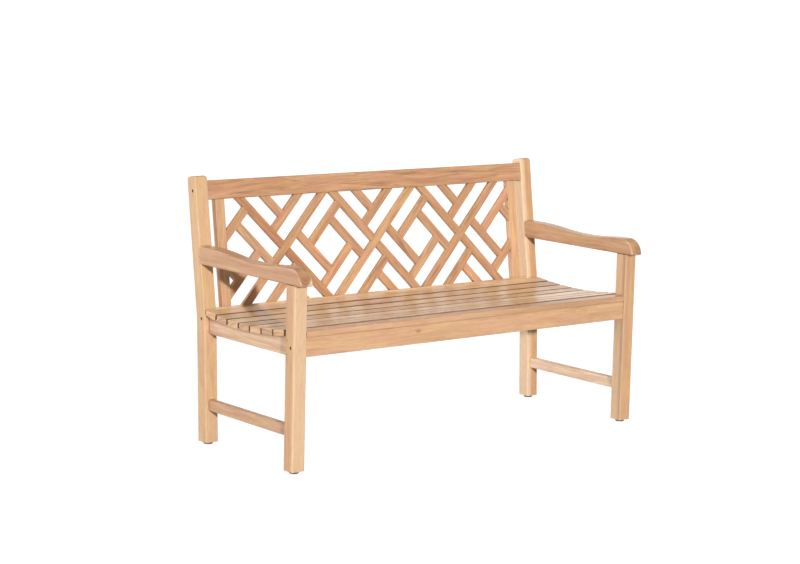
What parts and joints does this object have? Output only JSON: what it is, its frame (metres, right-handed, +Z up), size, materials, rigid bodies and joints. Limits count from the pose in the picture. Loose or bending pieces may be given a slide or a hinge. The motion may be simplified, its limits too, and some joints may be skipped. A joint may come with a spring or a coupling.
{
  "type": "garden bench",
  "caption": "Wooden garden bench with a raked back of slanted lattice bars, a hollowed slatted seat, shaped flat arms and low side stretchers.",
  "frame": {"origin": "on the ground, midway along the bench and midway between the arms' noses and the back's rear edge", "axes": "+X along the bench, to the right as seen from the front, +Y from front to back, +Z up"},
  "size_m": [1.5, 0.6596, 0.9033],
  "materials": {
    "teak": "sanded, unoiled",
    "steel": "plain",
    "glide": "matte"
  },
  "bodies": {
    "root": {"arm_left": "teak", "arm_right": "teak", "back_stile_left": "teak", "back_stile_right": "teak", "barrel_nuts": "steel", "centre_seat_bearer": "teak", "foot_glides": "glide", "frame_bolts": "steel", "front_leg_left": "teak", "front_leg_right": "teak", "front_seat_rail": "teak", "front_seat_slat": "teak", "joint_pegs": "teak", "lattice_long_falling_centre": "teak", "lattice_long_falling_left": "teak", "lattice_long_falling_right": "teak", "lattice_long_rising_centre": "teak", "lattice_long_rising_left": "teak", "lattice_long_rising_right": "teak", "lattice_lower_long_braces": "teak", "lattice_lower_short_braces": "teak", "lattice_pinwheel_1_lower_left": "teak", "lattice_pinwheel_1_lower_right": "teak", "lattice_pinwheel_1_upper_left": "teak", "lattice_pinwheel_1_upper_right": "teak", "lattice_pinwheel_2_lower_left": "teak", "lattice_pinwheel_2_lower_right": "teak", "lattice_pinwheel_2_upper_left": "teak", "lattice_pinwheel_2_upper_right": "teak", "lattice_pinwheel_3_lower_left": "teak", "lattice_pinwheel_3_lower_right": "teak", "lattice_pinwheel_3_upper_left": "teak", "lattice_pinwheel_3_upper_right": "teak", "lattice_pinwheel_4_lower_left": "teak", "lattice_pinwheel_4_lower_right": "teak", "lattice_pinwheel_4_upper_left": "teak", "lattice_pinwheel_4_upper_right": "teak", "lattice_upper_long_braces": "teak", "lattice_upper_short_braces": "teak", "lower_back_rail": "teak", "rear_post_left": "teak", "rear_post_right": "teak", "seat_slat_1": "teak", "seat_slat_2": "teak", "seat_slat_3": "teak", "seat_slat_4": "teak", "seat_slat_5": "teak", "seat_slat_6": "teak", "seat_slat_7": "teak", "side_seat_rail_left": "teak", "side_seat_rail_right": "teak", "side_stretcher_left": "teak", "side_stretcher_right": "teak", "slat_screws": "steel", "top_back_rail": "teak"}
  },
  "joints": []
}
